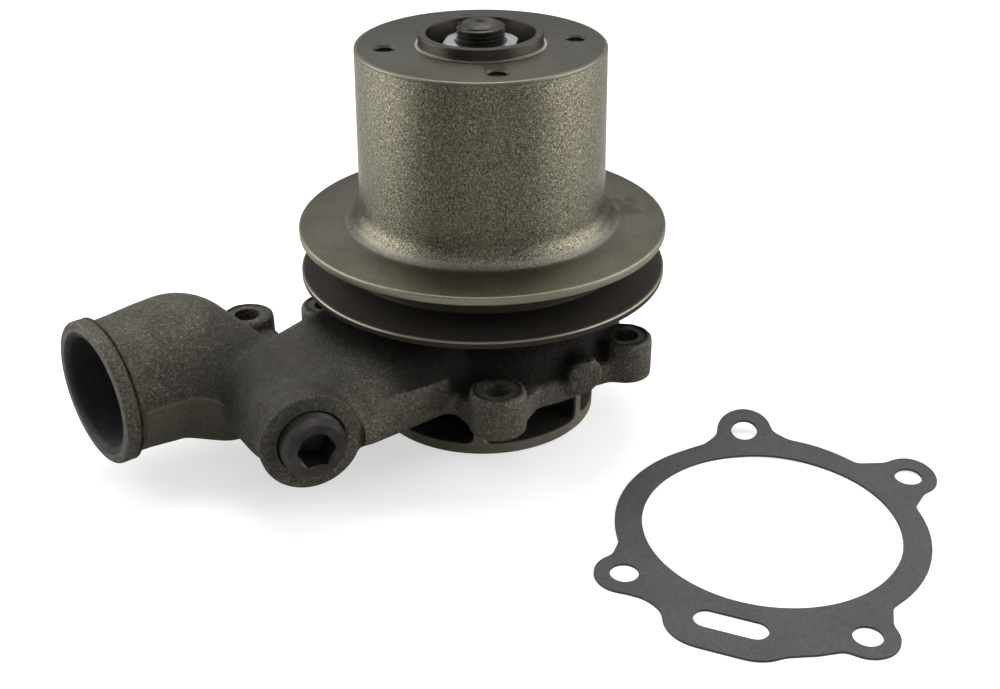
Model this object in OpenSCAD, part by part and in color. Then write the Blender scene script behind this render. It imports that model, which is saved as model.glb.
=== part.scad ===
// Belt-driven coolant pump for a tractor engine, with its joint gasket beside it.
// Millimetres. Origin: spindle axis at the engine mounting face, +Z towards the fan.
// The hose neck points along -X.

/* [Pulley] */
// Outer radius of the two pulley rims (5 in across)
rim_r = 63.5; // [62:0.5:65]
// Height of the upper rim's top face
rim_top_z = 50; // [49:0.5:51]
// Height of the lower rim's bottom face
rim_bottom_z = 31.9; // [31.5:0.1:32.5]
// Radius at the bottom of the belt groove
groove_r = 50.5; // [49:0.5:52]
// Hub radius at its foot
hub_foot_r = 42.3; // [42:0.1:43]
// Hub radius under the fan face
hub_top_r = 41.6; // [41:0.1:42]
// Height of the fan face
fan_face_z = 111.45; // [110:0.05:113]
// Radius of the fan pilot spigot
spigot_r = 20.6; // [20:0.1:21.5]
// Height that the spigot stands above the fan face
spigot_h = 3.95; // [3:0.05:5]
// Radius of the nut recess inside the spigot
recess_r = 17.9; // [17:0.1:18.5]
// Radius of the fan bolt circle (2.5 in across)
fan_pc_r = 31.75; // [30:0.25:33]
// Radius of each fan bolt hole
fan_hole_r = 3.6; // [3:0.1:4]

/* [Spindle and bearings] */
// Radius of the spindle's bearing seats
seat_r = 10; // [10:0.5:10]
// Radius of the impeller end and of the nut thread (5/8 in)
shaft_r = 7.94; // [7.9:0.01:8]
// Radius of the pulley seat (3/4 in)
pulley_seat_r = 9.525; // [9.5:0.005:9.6]
// Outer radius of each ball bearing
bearing_r = 23.5; // [23.5:0.5:23.5]
// Width of each ball bearing
bearing_w = 14; // [14:0.5:14]
// Radius of each ball
ball_r = 3.97; // [3.9:0.01:4]
// Radius of the circle that the balls run on
ball_pc_r = 16.75; // [16.75:0.05:16.75]
// Number of balls in each bearing
ball_count = 8; // [7:1:8]
// Height of the rear bearing's lower face
rear_bearing_z = 38; // [38:0.5:38]
// Height of the front bearing's lower face
front_bearing_z = 66; // [66:0.5:66]

/* [Impeller] */
// Impeller radius
impeller_r = 39.9; // [39:0.1:40.5]
// Height of the impeller's bottom face
impeller_z = -22.7; // [-23:0.1:-22]
// Thickness of the impeller's plate
plate_t = 4.1; // [3.5:0.1:5]
// Height of the vanes' upper edges
vane_top_z = 4.2; // [3:0.2:5]
// Number of vanes
vane_count = 6; // [5:1:8]
// Thickness of a vane
vane_t = 3.6; // [3:0.2:4.5]

/* [Body casting] */
// Outer radius of the mounting flange
flange_r = 50; // [49:0.5:51]
// Thickness of the mounting flange
flange_t = 7.5; // [6:0.5:9]
// Radius of each bolt lug
lug_r = 9.5; // [9:0.25:10]
// Height of each bolt lug
lug_h = 14.5; // [13:0.5:15]
// Radius of each mounting bolt hole (5/16 in bolts)
bolt_hole_r = 4.5; // [4.2:0.1:4.8]
// Outer radius of the bearing housing
nose_r = 30; // [29:0.5:31]
// Height of the bearing housing's open end
nose_top_z = 85; // [84.5:0.5:86]
// Radius of the impeller chamber
chamber_r = 42.1; // [41.8:0.1:43]

/* [Hose neck] */
// Distance of the neck's mouth from the spindle axis
mouth_x = 133.5; // [130:0.5:136]
// Outer radius of the neck's bead
bead_r = 24.5; // [24:0.25:25]
// Bore radius of the neck
neck_bore_r = 19; // [18:0.25:19.5]
// Distance of the elbow's centre from the spindle axis
elbow_x = 103; // [101:0.5:105]
// Sideways offset of the neck's axis
neck_y = 37.3; // [36:0.5:39]
// Height of the neck's axis
neck_z = 11.8; // [11:0.2:13]

/* [Gasket] */
// Thickness of the joint gasket
gasket_t = 0.8; // [0.5:0.1:1.2]

/* [Hidden] */
$fn = 96;
fit = 0.02;
ball_gap = 0.06;
cage_t = 2.4;
cage_h = 9.6;

// Bolt lugs of the mounting face: [radius from the spindle axis, angle]
LUGS = [[58, -124.3], [53.5, -62], [54.5, 53.5], [57, 136.5]];
// By-pass slot in the mounting face
slot_pc_r = 52.3;
slot_angle = 95;
slot_len = 22.5;
slot_w = 8;
// Fifth lug, on the passage wall beside the neck
side_lug = [-67.8, 50.6];
// Plug boss on the cross leg
boss_at = [-90.2, -25.5, 6];
boss_angle = -106;
boss_r = 16.5;
plug_r = 10.7;
plug_stand = 5.5;
plug_hex = 11.1;
// Where the loose gasket's centre lies, and how it is turned from its fitted place
gasket_at = [18.6, -123.2];
gasket_hole_r = 41.2;
gasket_turn = 113.2;

function polar(p) = [p[0] * cos(p[1]), p[0] * sin(p[1])];

// ---- shared shapes ----

module at_lugs() {
    for (p = LUGS) translate(polar(p)) children();
}

// One straight-sided web that joins a lug to the ring
module lug_web(p) {
    rotate(p[1]) polygon([[flange_r - 12, -16], [flange_r - 1.5, -14], [p[0] - 1, -lug_r * 0.97],
        [p[0] - 1, lug_r * 0.97], [flange_r - 1.5, 14], [flange_r - 12, 16]]);
}

// Outer outline of the mounting face and of its gasket
module face_outline(ring_r) {
    circle(r = ring_r);
    at_lugs() circle(r = lug_r);
    for (p = LUGS) lug_web(p);
    slot_pad(slot_w / 2 + 9);
    slot_webs();
}

// Webs that carry the pad's outer edge on to the lugs on both sides of it
module slot_webs() {
    a = LUGS[3];
    polygon([polar([40, slot_angle]), polar([slot_pc_r + 11.5, slot_angle + 2]), polar([slot_pc_r + 10.5, slot_angle + 16]),
        polar([slot_pc_r + 9.5, slot_angle + 25]), polar([a[0] + 4, a[1] - 8]), polar([40, a[1]])]);
    b = LUGS[2];
    polygon([polar([40, b[1]]), polar([b[0] + 7.5, b[1] + 5]), polar([b[0] + 2.5, b[1] + 13]),
        polar([b[0] + 2.5, b[1] + 18]), polar([slot_pc_r + 9, slot_angle - 14]), polar([40, slot_angle])]);
}

module slot_pad(r) {
    rotate(slot_angle) translate([slot_pc_r, 0]) {
        for (s = [-1, 1]) translate([0, s * (slot_len - slot_w) / 2]) circle(r = r);
        translate([-r, -(slot_len - slot_w) / 2]) square([2 * r, slot_len - slot_w]);
    }
}

module tube(r_out, r_in, h) {
    difference() {
        cylinder(r = r_out, h = h);
        translate([0, 0, -1]) cylinder(r = r_in, h = h + 2);
    }
}

module ring_profile(points) {
    rotate_extrude() polygon(points);
}

// ---- body casting ----

module body_shell() {
    linear_extrude(flange_t) face_outline(flange_r);
    at_lugs() cylinder(r = lug_r, h = lug_h);
    linear_extrude(13) slot_pad(slot_w / 2 + 4.5);
    // chamber roof and bearing housing
    ring_profile([[0, 0], [flange_r - 2, 0], [flange_r - 2.5, flange_t + 2], [44, 17], [36, 23.5],
        [nose_r + 1.5, 28], [nose_r, 34], [nose_r, nose_top_z - 1.5], [nose_r - 1.5, nose_top_z],
        [0, nose_top_z]]);
    // cast nub on the flange's edge
    translate([1.2, -53.4, 7.9]) rotate([90, 0, -17]) translate([0, 0, -10]) cylinder(r = 6.6, h = 10);
    passage();
    neck();
    translate([side_lug[0], side_lug[1], 0]) cylinder(r = lug_r, h = lug_h);
    translate([side_lug[0] - 26, side_lug[1] - 8, 1]) cube([26, 14, 9]);
    translate([side_lug[0] - 8, side_lug[1] - 26, 1]) cube([14, 26, 9]);
}

// Wide flat passage from the cross leg to the chamber
module passage() {
    hull() {
        for (y = [-19, 17]) translate([-38, y, 13.7]) sphere(r = 13.2, $fn = 32);
        for (y = [-13, 10]) translate([-80, y, 10.7]) sphere(r = 12.5, $fn = 32);
        translate([-73, -32.5, 0.6]) cube([37, 56, 4]);
    }
}

// Hose neck, elbow and cross leg
module neck() {
    translate([-mouth_x, neck_y, neck_z]) rotate([0, 90, 0]) ring_profile([[0, 0], [bead_r - 0.8, 0],
        [bead_r, 0.9], [bead_r, 4.6], [22.9, 8], [23, 11], [24, 22], [24.4, mouth_x - elbow_x], [0, mouth_x - elbow_x]]);
    translate([-elbow_x, neck_y, neck_z]) sphere(r = 24.4);
    hull() {
        translate([-elbow_x, neck_y, neck_z]) sphere(r = 24.3, $fn = 32);
        translate([12 - elbow_x, neck_y - 10.3, 0.5]) sphere(r = 16.2, $fn = 32);
        translate([17 - elbow_x, neck_y - 15, 6.4]) sphere(r = 15.2, $fn = 32);
    }
    hull() {
        translate([18 - elbow_x, neck_y - 16, 6]) sphere(r = 15.5, $fn = 32);
        translate([boss_at[0] + 3, boss_at[1] + 18, 6]) sphere(r = 16.5, $fn = 32);
    }
    translate(boss_at) rotate([90, 0, boss_angle + 90]) {
        translate([0, 0, -18]) cylinder(r = boss_r, h = 18);
        translate([0, 0, -20]) sphere(r = boss_r + 1);
    }
}

module body_hollows() {
    // chamber, seal bore, drain space, bearing bore and circlip groove
    ring_profile([[0, -1], [chamber_r, -1], [chamber_r, 9], [38, 14.5], [32, 19], [24, 20],
        [24, 8], [18.2, 8], [18.2, 22], [10.5, 22], [10.5, 25], [17, 25], [17, 34.5],
        [bearing_r, 34.5], [bearing_r, 80], [25, 80], [25, 82], [bearing_r, 82],
        [bearing_r, nose_top_z - 1], [bearing_r + 1, nose_top_z + 1], [0, nose_top_z + 1]]);
    // water passages
    hull() {
        for (y = [-19, 17]) translate([-38, y, 13.2]) sphere(r = 8.7, $fn = 32);
        for (y = [-13, 10]) translate([-82, y, 10.7]) sphere(r = 8.3, $fn = 32);
    }
    translate([-mouth_x - 1, neck_y, neck_z]) rotate([0, 90, 0]) cylinder(r = neck_bore_r, h = mouth_x - elbow_x + 1);
    translate([-elbow_x, neck_y, neck_z]) sphere(r = neck_bore_r);
    hull() {
        translate([-elbow_x, neck_y, neck_z]) sphere(r = 13, $fn = 32);
        translate([17 - elbow_x, neck_y - 15, 6.4]) sphere(r = 10.2, $fn = 32);
    }
    hull() {
        translate([18 - elbow_x, neck_y - 16, 6]) sphere(r = 10.5, $fn = 32);
        translate([boss_at[0] + 4, boss_at[1] + 20, 6]) sphere(r = 11.5, $fn = 32);
    }
    // tapped plug hole
    translate(boss_at) rotate([90, 0, boss_angle + 90]) {
        translate([0, 0, -17]) cylinder(r = plug_r + fit, h = 18);
    }
    at_lugs() translate([0, 0, -1]) cylinder(r = bolt_hole_r, h = lug_h + 2);
    translate([side_lug[0], side_lug[1], -1]) cylinder(r = bolt_hole_r, h = lug_h + 2);
    // by-pass slot, joined to the chamber
    translate([0, 0, -1]) linear_extrude(9) slot_pad(slot_w / 2);
    rotate(slot_angle) translate([36, -4, 3]) cube([15, 8, 4]);
    // drain hole from the space behind the seal
    translate([0, 0, 29.5]) rotate([90, 0, 0]) cylinder(r = 2.5, h = nose_r + 8);
}

module pump_body() {
    color("#4b4a45") difference() {
        body_shell();
        body_hollows();
    }
}

module pipe_plug() {
    color("#55544e") translate(boss_at) rotate([90, 0, boss_angle + 90]) difference() {
        ring_profile([[0, -9], [plug_r - 0.8, -9], [plug_r, -8.2], [plug_r, plug_stand - 1],
            [plug_r - 1, plug_stand], [0, plug_stand]]);
        translate([0, 0, -4]) cylinder(d = plug_hex / cos(30), h = 12, $fn = 6);
    }
}

// ---- bearings ----

module outer_race() {
    difference() {
        ring_profile([[19.3, 0.4], [20, 0], [bearing_r - 0.5, 0], [bearing_r - fit, 0.6],
            [bearing_r - fit, bearing_w - 0.6], [bearing_r - 0.5, bearing_w], [20, bearing_w],
            [19.3, bearing_w - 0.4]]);
        ball_track();
    }
}

module inner_race() {
    difference() {
        ring_profile([[seat_r + fit, 0.5], [seat_r + 0.5, 0], [13.7, 0], [14.2, 0.4],
            [14.2, bearing_w - 0.4], [13.7, bearing_w], [seat_r + 0.5, bearing_w],
            [seat_r + fit, bearing_w - 0.5]]);
        ball_track();
    }
}

module ball_track() {
    translate([0, 0, bearing_w / 2]) rotate_extrude() translate([ball_pc_r, 0]) circle(r = ball_r + ball_gap, $fn = 48);
}

module balls() {
    for (i = [0:ball_count - 1]) rotate(i * 360 / ball_count) translate([ball_pc_r, 0, bearing_w / 2])
        sphere(r = ball_r, $fn = 32);
}

// Turned ring with a drilled pocket for each ball
module cage() {
    difference() {
        translate([0, 0, bearing_w / 2 - cage_h / 2]) tube(ball_pc_r + cage_t / 2, ball_pc_r - cage_t / 2, cage_h);
        for (i = [0:ball_count - 1]) rotate(i * 360 / ball_count) translate([ball_pc_r - cage_t, 0, bearing_w / 2])
            rotate([0, 90, 0]) cylinder(r = ball_r + ball_gap, h = 2 * cage_t, $fn = 48);
    }
}

module rear_bearing_outer() { color("#b9bbbd") translate([0, 0, rear_bearing_z]) outer_race(); }
module front_bearing_outer() { color("#b9bbbd") translate([0, 0, front_bearing_z]) outer_race(); }
module rear_bearing_inner() { color("#b9bbbd") translate([0, 0, rear_bearing_z]) inner_race(); }
module front_bearing_inner() { color("#b9bbbd") translate([0, 0, front_bearing_z]) inner_race(); }
module rear_bearing_balls() { color("#d5d7da") translate([0, 0, rear_bearing_z]) balls(); }
module front_bearing_balls() { color("#d5d7da") translate([0, 0, front_bearing_z]) balls(); }
module rear_bearing_cage() { color("#b38b46") translate([0, 0, rear_bearing_z]) cage(); }
module front_bearing_cage() { color("#b38b46") translate([0, 0, front_bearing_z]) cage(); }

module bearing_circlip() {
    color("#3a3a3c") translate([0, 0, 80.15]) difference() {
        tube(24.9, 20.4, 1.7);
        translate([-4, 15, -1]) cube([8, 12, 4]);
    }
}

module bearing_spacer() {
    color("#7d7f82") translate([0, 0, rear_bearing_z + bearing_w]) tube(13.2, seat_r + fit, 14);
}

module felt_retainer() {
    color("#8c8a80") translate([0, 0, 34.52]) ring_profile([[13, 0], [bearing_r - fit, 0],
        [bearing_r - fit, 3.4], [22.3, 3.4], [22.3, 1], [13, 1]]);
}

module felt_seal() {
    color("#6d675c") translate([0, 0, 35.6]) tube(22.2, 12.3, 2.3);
}

// ---- shaft seal ----

module seal_case() {
    color("#b08d4c") ring_profile([[9, 21.9], [18.18, 21.9], [18.18, 7.98], [19.6, 7.98], [19.6, 7.2],
        [17.2, 7.2], [17.2, 20.9], [9, 20.9]]);
}

module seal_bellows() {
    color("#242424") ring_profile([[9.2, 20.85], [16, 20.85], [16, 19.4], [12.2, 19], [12.2, 17.5],
        [13.2, 16.6], [12.2, 15.7], [12.2, 13.2], [9.2, 13.2]]);
}

module seal_spring() {
    color("#9a9c9e") for (i = [0:3]) translate([0, 0, 13.9 + i * 1.55]) rotate_extrude()
        translate([15.1, 0]) circle(r = 0.7, $fn = 24);
}

module seal_carbon_ring() {
    color("#1d1d1f") ring_profile([[9.2, 13.15], [16.6, 13.15], [16.6, 10.9], [13.4, 10.9],
        [13.4, 7.6], [9.2, 7.6]]);
}

module seal_seat() {
    color("#e4ded0") translate([0, 0, 4.4]) tube(13.4, 9.2, 3.14);
}

module seat_cup() {
    color("#202020") difference() {
        translate([0, 0, 2.6]) tube(14.9, shaft_r + fit, 4.4);
        translate([0, 0, 4.4 - 0.01]) tube(13.42, 9.18, 4);
    }
}

// ---- rotor ----

module spindle() {
    color("#55534c") difference() {
        ring_profile([[0, -21.5], [shaft_r - 1, -21.5], [shaft_r, -20.5], [shaft_r, 26], [8.6, 27],
            [8.6, 33], [12.2, 34], [12.2, rear_bearing_z], [seat_r, rear_bearing_z],
            [seat_r, 79.6], [pulley_seat_r, 80], [pulley_seat_r, 100.2], [shaft_r - 0.7, 100.9],
            [shaft_r - 0.7, 102.2], [shaft_r, 102.9], [shaft_r, 117.6], [shaft_r - 1.4, 119],
            [0, 119]]);
        // centre-drilled dimple and keyway
        translate([0, 0, 117]) cylinder(r1 = 0.6, r2 = 2, h = 2.1);
        translate([pulley_seat_r - 2.4, -2.4, 84]) cube([4, 4.8, 14.5]);
    }
}

module water_slinger() {
    color("#8c8a80") translate([0, 0, 28.2]) ring_profile([[8.62, 0], [11, 0], [15.4, 1.2],
        [15.4, 2.6], [8.62, 2.6]]);
}

module vane() {
    translate([0, 0, impeller_z + plate_t - 0.5]) linear_extrude(vane_top_z - impeller_z - plate_t + 0.5)
        intersection() {
            circle(r = impeller_r - 0.2);
            difference() {
                translate([27, -15.4]) circle(r = 20 + vane_t / 2);
                translate([27, -15.4]) circle(r = 20 - vane_t / 2);
                translate([-60, -60]) square([120, 57]);
                translate([-44.2, -60]) square([60, 120]);
            }
        }
}

module impeller() {
    color("#3d3a35") difference() {
        union() {
            translate([0, 0, impeller_z]) ring_profile([[0, 0], [impeller_r - 0.5, 0], [impeller_r, 0.5],
                [impeller_r, plate_t], [16, plate_t + 2], [15.6, plate_t + 4], [15.6, 2.5 - impeller_z],
                [0, 2.5 - impeller_z]]);
            for (i = [0:vane_count - 1]) rotate(-72.5 + i * 360 / vane_count) vane();
        }
        translate([0, 0, impeller_z - 1]) cylinder(r = shaft_r + fit, h = 40);
        for (a = [0:180:180]) rotate(a + 20) translate([25, 0, impeller_z - 1]) cylinder(r = 3, h = plate_t + 4);
    }
}

module pulley() {
    color("#7f7c70") difference() {
        ring_profile([[pulley_seat_r + fit, 80], [13.4, 80], [13.4, 82.4], [17, 82.4], [17, 93], [22, 97], [36, 97], [36, rim_bottom_z],
            [52, rim_bottom_z], [rim_r - 0.6, rim_bottom_z], [rim_r, rim_bottom_z + 0.6],
            [rim_r, rim_bottom_z + 2.3], [groove_r, 38], [groove_r, 43.8], [rim_r, rim_top_z - 2.8],
            [rim_r, rim_top_z - 0.5], [rim_r - 0.5, rim_top_z], [hub_foot_r + 7, rim_top_z + 0.9],
            [hub_foot_r + 3.7, rim_top_z + 1.5], [hub_foot_r + 1.3, rim_top_z + 3],
            [hub_foot_r + 0.3, rim_top_z + 5.5], [hub_foot_r, rim_top_z + 8],
            [hub_top_r, fan_face_z - 0.8], [hub_top_r - 0.8, fan_face_z], [spigot_r, fan_face_z],
            [spigot_r, fan_face_z + spigot_h - 0.5], [spigot_r - 0.5, fan_face_z + spigot_h],
            [recess_r + 0.4, fan_face_z + spigot_h], [recess_r, fan_face_z + spigot_h - 0.5],
            [recess_r, 101.2], [pulley_seat_r + fit, 101.2]]);
        // tapped fan holes
        for (i = [0:3]) rotate(60.5 + i * 90) translate([fan_pc_r, 0, 99]) cylinder(r = fan_hole_r, h = 20);
        // keyway
        translate([pulley_seat_r - 2, -2.42, 81]) cube([4.4, 4.84, 21]);
    }
}

module pulley_key() {
    color("#6b6d70") translate([pulley_seat_r - 2.35, -2.38, 84.1]) cube([4.2, 4.76, 14.2]);
}

module pulley_washer() {
    color("#8d8e90") translate([0, 0, 101.25]) tube(15, shaft_r + 0.4, 1.6);
}

module pulley_nut() {
    color("#d9dbdd") translate([0, 0, 102.9]) difference() {
        intersection() {
            cylinder(d = 23.8 / cos(30), h = 9.6, $fn = 6);
            ring_profile([[0, 0], [12.4, 0], [13.9, 1], [13.9, 8.6], [12.4, 9.6], [0, 9.6]]);
        }
        translate([0, 0, -1]) cylinder(r = shaft_r + fit, h = 12);
    }
}

// ---- loose gasket ----

module joint_gasket() {
    color("#3f4143") translate([gasket_at[0], gasket_at[1], impeller_z]) rotate(gasket_turn)
        linear_extrude(gasket_t) difference() {
            face_outline(flange_r);
            circle(r = gasket_hole_r);
            at_lugs() circle(r = bolt_hole_r);
            slot_pad(slot_w / 2);
        }
}

pump_body();
rear_bearing_outer();
front_bearing_outer();
bearing_circlip();
felt_retainer();
felt_seal();
seal_case();
seal_bellows();
seal_spring();
seal_carbon_ring();
pipe_plug();
spindle();
rear_bearing_inner();
front_bearing_inner();
bearing_spacer();
water_slinger();
seal_seat();
seat_cup();
impeller();
pulley();
pulley_key();
pulley_washer();
pulley_nut();
rear_bearing_balls();
rear_bearing_cage();
front_bearing_balls();
front_bearing_cage();
joint_gasket();
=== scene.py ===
from math import cos, pi, radians, sin, tau

import bmesh
import bpy
from mathutils import Matrix, Vector


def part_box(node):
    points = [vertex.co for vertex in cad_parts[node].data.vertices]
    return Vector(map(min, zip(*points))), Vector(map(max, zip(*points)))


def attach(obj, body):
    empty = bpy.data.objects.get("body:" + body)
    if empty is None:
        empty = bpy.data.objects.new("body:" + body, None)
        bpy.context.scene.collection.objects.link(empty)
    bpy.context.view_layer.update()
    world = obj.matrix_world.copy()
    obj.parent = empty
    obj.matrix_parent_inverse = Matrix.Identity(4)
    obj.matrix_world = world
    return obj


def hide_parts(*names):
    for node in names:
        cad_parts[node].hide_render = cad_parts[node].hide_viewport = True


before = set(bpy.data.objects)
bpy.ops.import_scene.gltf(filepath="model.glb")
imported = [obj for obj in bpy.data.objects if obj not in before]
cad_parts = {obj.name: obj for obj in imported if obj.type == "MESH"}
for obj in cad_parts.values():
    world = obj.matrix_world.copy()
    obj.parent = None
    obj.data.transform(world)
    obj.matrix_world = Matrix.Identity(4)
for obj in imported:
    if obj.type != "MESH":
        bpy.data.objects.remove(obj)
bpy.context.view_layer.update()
scene = bpy.context.scene

# ---- Studio ----
# The pump stands on its impeller on a plain pale floor, its gasket flat beside it. Two tall soft boxes
# stand left and right of the camera, one hangs above, and two dim panels stand in front and behind.

mm = 0.001
floor_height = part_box("impeller")[0].z
camera_bearing = radians(-128.7)
towards_camera = Vector((cos(camera_bearing), sin(camera_bearing), 0))
lit_point = Vector((-0.02, -0.04, 0.04))


def add_node(tree, kind, inputs=None, **settings):
    """Adds a node. inputs maps a socket's name or number to a value or to another node's output."""
    node = tree.nodes.new(kind)
    for setting, value in settings.items():
        setattr(node, setting, value)
    for socket, value in (inputs or {}).items():
        if isinstance(value, bpy.types.NodeSocket):
            tree.links.new(value, node.inputs[socket])
        else:
            node.inputs[socket].default_value = value
    return node


def new_material(name):
    """A material with an empty tree but for its output. Returns the material and its tree."""
    material = bpy.data.materials.new(name)
    material.use_nodes = True
    material.node_tree.nodes.clear()
    return material, material.node_tree


def shade(tree, **inputs):
    """The Principled surface of a material, with its sockets given by name."""
    named = {name.replace("_", " ").title().replace("Ior", "IOR"): value
        for name, value in inputs.items()}
    surface = add_node(tree, "ShaderNodeBsdfPrincipled", named)
    add_node(tree, "ShaderNodeOutputMaterial", {"Surface": surface.outputs["BSDF"]})


floor_material, tree = new_material("studio_floor")
ray = add_node(tree, "ShaderNodeLightPath")
floor_tone = add_node(tree, "ShaderNodeMix", {0: ray.outputs["Is Camera Ray"], 6: (0.52, 0.51, 0.48, 1),
    7: (0.60, 0.60, 0.60, 1)}, data_type="RGBA")
floor_glow = add_node(tree, "ShaderNodeMix", {0: ray.outputs["Is Camera Ray"], 6: (0, 0, 0, 1),
    7: (0.55, 0.55, 0.55, 1)}, data_type="RGBA")
shade(tree, base_color=floor_tone.outputs[2], roughness=0.9, emission_color=floor_glow.outputs[2],
    emission_strength=1.0)

floor_bm = bmesh.new()
bmesh.ops.create_grid(floor_bm, x_segments=1, y_segments=1, size=4,
    matrix=Matrix.Translation((0, 0, floor_height)))
floor_mesh = bpy.data.meshes.new("floor")
floor_bm.to_mesh(floor_mesh)
floor_bm.free()
floor_mesh.materials.append(floor_material)
floor = bpy.data.objects.new("floor", floor_mesh)
scene.collection.objects.link(floor)

world = bpy.data.worlds.new("studio")
world.use_nodes = True
world.node_tree.nodes["Background"].inputs["Color"].default_value = (0.95, 0.97, 1, 1)
world.node_tree.nodes["Background"].inputs["Strength"].default_value = 0.07
scene.world = world


def soft_box(name, bearing, height, distance, width, tall, power):
    """A soft box at a bearing from the camera's side of the pump, turned towards the pump."""
    light = bpy.data.lights.new(name, "AREA")
    light.shape = "RECTANGLE"
    light.size = width
    light.size_y = tall
    light.energy = power
    direction = Matrix.Rotation(radians(bearing), 4, "Z") @ towards_camera
    lamp = bpy.data.objects.new(name, light)
    lamp.location = direction * distance + Vector((0, 0, height))
    aim = lit_point - lamp.location
    lamp.rotation_euler = aim.to_track_quat("-Z", "Y").to_euler()
    lamp.visible_camera = False
    scene.collection.objects.link(lamp)


soft_box("left_box", -96, 0.50, 1.3, 1.5, 1.3, 23)
soft_box("right_box", 91, 0.50, 1.3, 1.7, 1.3, 24)
soft_box("top_box", 176, 1.6, 0.6, 1.2, 1.1, 22)
soft_box("front_top_box", 0, 1.25, 0.75, 1.5, 0.6, 4)
soft_box("back_panel", 180, 0.8, 1.45, 2.2, 0.8, 4.5)
soft_box("front_panel", 8, 0.45, 1.9, 2.2, 0.7, 4)

camera_data = bpy.data.cameras.new("camera")
camera_data.lens = 50.78
camera_data.sensor_width = 36
camera = bpy.data.objects.new("camera", camera_data)
camera.location = (-0.2830, -0.3533, 0.2455)
turn, tilt, roll = radians(-39.4475), radians(61.444), radians(-0.19)
camera.rotation_euler = (Matrix.Rotation(turn, 3, "Z") @ Matrix.Rotation(tilt, 3, "X")
    @ Matrix.Rotation(roll, 3, "Z")).to_euler()
scene.collection.objects.link(camera)
scene.camera = camera
scene.view_settings.view_transform = "Standard"

# ---- Pulley ----
# One iron casting, turned all over: a V groove for the belt, a tall hub with four tapped fan holes, and the
# fan's pilot spigot. The hub's side is left grit blasted. The groove and the rim's lower lip are painted
# dark, partly for the belt's rubber and partly as painted shade; the underside and the inside of the pulley
# carry painted shade.

rim_r, rim_top, rim_bottom = 63.5, 50, 31.9
groove_r = 50.5
hub_foot_r, hub_top_r = 42.3, 41.6
foot_round = 7
fan_face = 111.45
spigot_r, spigot_top = 20.6, 115.4
recess_r, recess_floor = 17.9, 101.2
pulley_bore, inner_wall_r = 9.545, 36
stain_reach, stain_bearing, stain_height = 49.5, radians(-31), 51
fan_circle_r, fan_hole_r = 31.75, 3.6
first_fan_hole = 60.5


def arc(centre, radius, start, end, points):
    """Points (radius, height) along a round stretch of an outline, from one angle to another."""
    angles = [radians(start + (end - start) * i / (points - 1)) for i in range(points)]
    return [(centre[0] + radius * cos(a), centre[1] + radius * sin(a)) for a in angles]


def turned(outline, steps=128):
    """Spins an outline of (radius, height) points about Z into a closed solid."""
    bm = bmesh.new()
    verts = [bm.verts.new((r, 0, z)) for r, z in outline]
    edges = [bm.edges.new(pair) for pair in zip(verts, verts[1:])]
    if outline[0][0] or outline[-1][0]:
        edges.append(bm.edges.new((verts[-1], verts[0])))
    bmesh.ops.spin(bm, geom=verts + edges, cent=(0, 0, 0), axis=(0, 0, 1), angle=tau, steps=steps,
        use_merge=True)
    bmesh.ops.remove_doubles(bm, verts=bm.verts, dist=1e-4)
    bmesh.ops.recalc_face_normals(bm, faces=bm.faces)
    return bm


def soften(bm, width, segments=2, sharper_than=28):
    """Breaks every edge that is sharper than an angle."""
    edges = [e for e in bm.edges if e.is_manifold and e.calc_face_angle() > radians(sharper_than)]
    bmesh.ops.bevel(bm, geom=edges, offset=width, segments=segments, profile=0.5, affect="EDGES",
        material=-1)


def placed(bm, place):
    """Moves a mesh to its place and returns it."""
    bm.transform(place)
    return bm


def make_piece(name, bm, *materials):
    """Makes an object in metres from a mesh drawn in millimetres."""
    bmesh.ops.scale(bm, vec=(mm, mm, mm), verts=bm.verts)
    mesh = bpy.data.meshes.new(name)
    bm.to_mesh(mesh)
    bm.free()
    for material in materials:
        mesh.materials.append(material)
    piece = bpy.data.objects.new(name, mesh)
    scene.collection.objects.link(piece)
    return piece


def settle(piece):
    """Applies a piece's modifiers to its mesh."""
    graph = bpy.context.evaluated_depsgraph_get()
    mesh = bpy.data.meshes.new_from_object(piece.evaluated_get(graph))
    piece.modifiers.clear()
    piece.data = mesh


def machine(piece, tools, operation="DIFFERENCE"):
    """Cuts solids from a piece, or joins them to it, and removes them. Each leaves its own material."""
    for tool in tools:
        step = piece.modifiers.new(tool.name, "BOOLEAN")
        step.operation = operation
        step.solver = "MANIFOLD"
        step.material_mode = "TRANSFER"
        step.object = tool
    settle(piece)
    for tool in tools:
        bpy.data.objects.remove(tool)


def smooth_faces(piece, sharp_angle=32):
    """Shades a piece smooth, with the edges past an angle kept sharp."""
    piece.data.shade_smooth()
    piece.data.set_sharp_from_angle(angle=radians(sharp_angle))


def threaded_outline(root, crest, pitch, low, high):
    """Outline points of a row of thread teeth from one height to another."""
    teeth = round((high - low) / pitch)
    return [(r, low + (i + part) * pitch) for i in range(teeth) for r, part in ((root, 0.1), (crest, 0.5))]


def new_group(name, inputs, outputs):
    """A shader node group with float inputs and their defaults. Returns its tree, input and output."""
    group = bpy.data.node_groups.new(name, "ShaderNodeTree")
    for socket, value in inputs.items():
        made = group.interface.new_socket(socket, in_out="INPUT", socket_type="NodeSocketFloat")
        made.default_value = value
    for socket, kind in outputs.items():
        group.interface.new_socket(socket, in_out="OUTPUT", socket_type="NodeSocket" + kind)
    return group, add_node(group, "NodeGroupInput"), add_node(group, "NodeGroupOutput")


def calculate(tree, operation, a, b=0.0, clamp=False):
    """The result of one Math node."""
    return add_node(tree, "ShaderNodeMath", {0: a, 1: b}, operation=operation, use_clamp=clamp).outputs[0]


def times(tree, product, *factors):
    """The product of two or more values."""
    for factor in factors:
        product = calculate(tree, "MULTIPLY", product, factor)
    return product


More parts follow.
